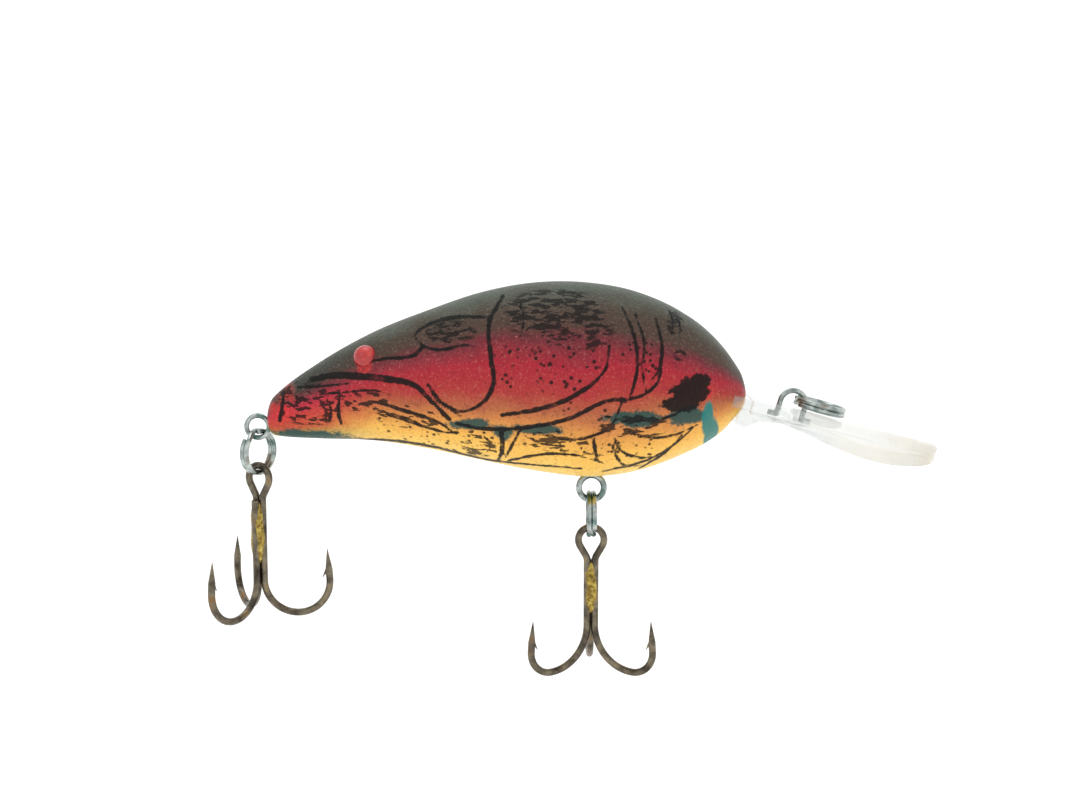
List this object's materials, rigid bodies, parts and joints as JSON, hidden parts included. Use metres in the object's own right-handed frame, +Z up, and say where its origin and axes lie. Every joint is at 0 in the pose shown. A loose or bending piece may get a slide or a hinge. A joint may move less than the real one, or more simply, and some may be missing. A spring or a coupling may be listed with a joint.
{
  "type": "crankbait fishing lure",
  "caption": "Fat-bodied diving lure with a clear lip, split rings and treble hooks hanging from the belly and the tail.",
  "frame": {"origin": "centre of the line-tie loop on the lip", "axes": "+X towards the nose and the lip's tip, +Z up, +Y to the lure's left"},
  "size_m": [0.079, 0.0204, 0.0436],
  "materials": {
    "painted_body": "airbrushed crawfish pattern, dark olive back, crimson side, orange and yellow belly, clear coat with a fine pebbled texture",
    "red_bead": "glossy red enamel bead",
    "clear_lip": "clear polycarbonate, slightly yellowed at the rim",
    "plated_wire": "drawn steel wire, dull plated, lightly tarnished",
    "nickel_ring": "nickel plated spring wire",
    "bronzed_hook": "bronzed high-carbon steel wire with light rust",
    "brass_braze": "rough brazing brass",
    "cast_lead": "dull cast lead",
    "steel_shot": "bright steel ball"
  },
  "bodies": {
    "lure": {"left_shell": "painted_body", "right_shell": "painted_body", "left_eye": "red_bead", "right_eye": "red_bead", "belly_hanger": "plated_wire", "tail_hanger": "plated_wire", "ballast_weight": "cast_lead", "diving_lip": "clear_lip", "line_tie_loop": "plated_wire"},
    "rattle": {"front_rattle_shot": "steel_shot", "rear_rattle_shot": "steel_shot"},
    "line_ring": {"line_split_ring": "nickel_ring"},
    "belly_ring": {"belly_split_ring": "nickel_ring"},
    "belly_hook": {"belly_treble_double_hook": "bronzed_hook", "belly_treble_single_hook": "bronzed_hook", "belly_treble_braze": "brass_braze"},
    "tail_ring": {"tail_split_ring": "nickel_ring"},
    "tail_hook": {"tail_treble_double_hook": "bronzed_hook", "tail_treble_single_hook": "bronzed_hook", "tail_treble_braze": "brass_braze"}
  },
  "joints": [
    {"name": "rattle_slide", "type": "slide", "parent": "lure", "child": "rattle", "axis": [1, 0, 0], "range_m": [-0.004, 0]},
    {"name": "line_ring_swing", "type": "hinge", "parent": "lure", "child": "line_ring", "pos_m": [0, 0, 0], "axis": [0, 1, 0], "range_deg": [-125, 0]},
    {"name": "belly_ring_swing", "type": "hinge", "parent": "lure", "child": "belly_ring", "pos_m": [-0.0221, 0, -0.0094], "axis": [0, 1, 0], "range_deg": [-75, 75]},
    {"name": "belly_hook_swing", "type": "hinge", "parent": "belly_ring", "child": "belly_hook", "pos_m": [-0.0221, 0, -0.01235], "axis": [1, 0, 0], "range_deg": [-75, 75]},
    {"name": "tail_ring_swing", "type": "hinge", "parent": "lure", "child": "tail_ring", "pos_m": [-0.0589, 0, -0.0026], "axis": [0, 1, 0], "range_deg": [-10, 120]},
    {"name": "tail_hook_swing", "type": "hinge", "parent": "tail_ring", "child": "tail_hook", "pos_m": [-0.0589, 0, -0.00539], "axis": [0.866, -0.5, 0], "range_deg": [-85, 85]}
  ]
}
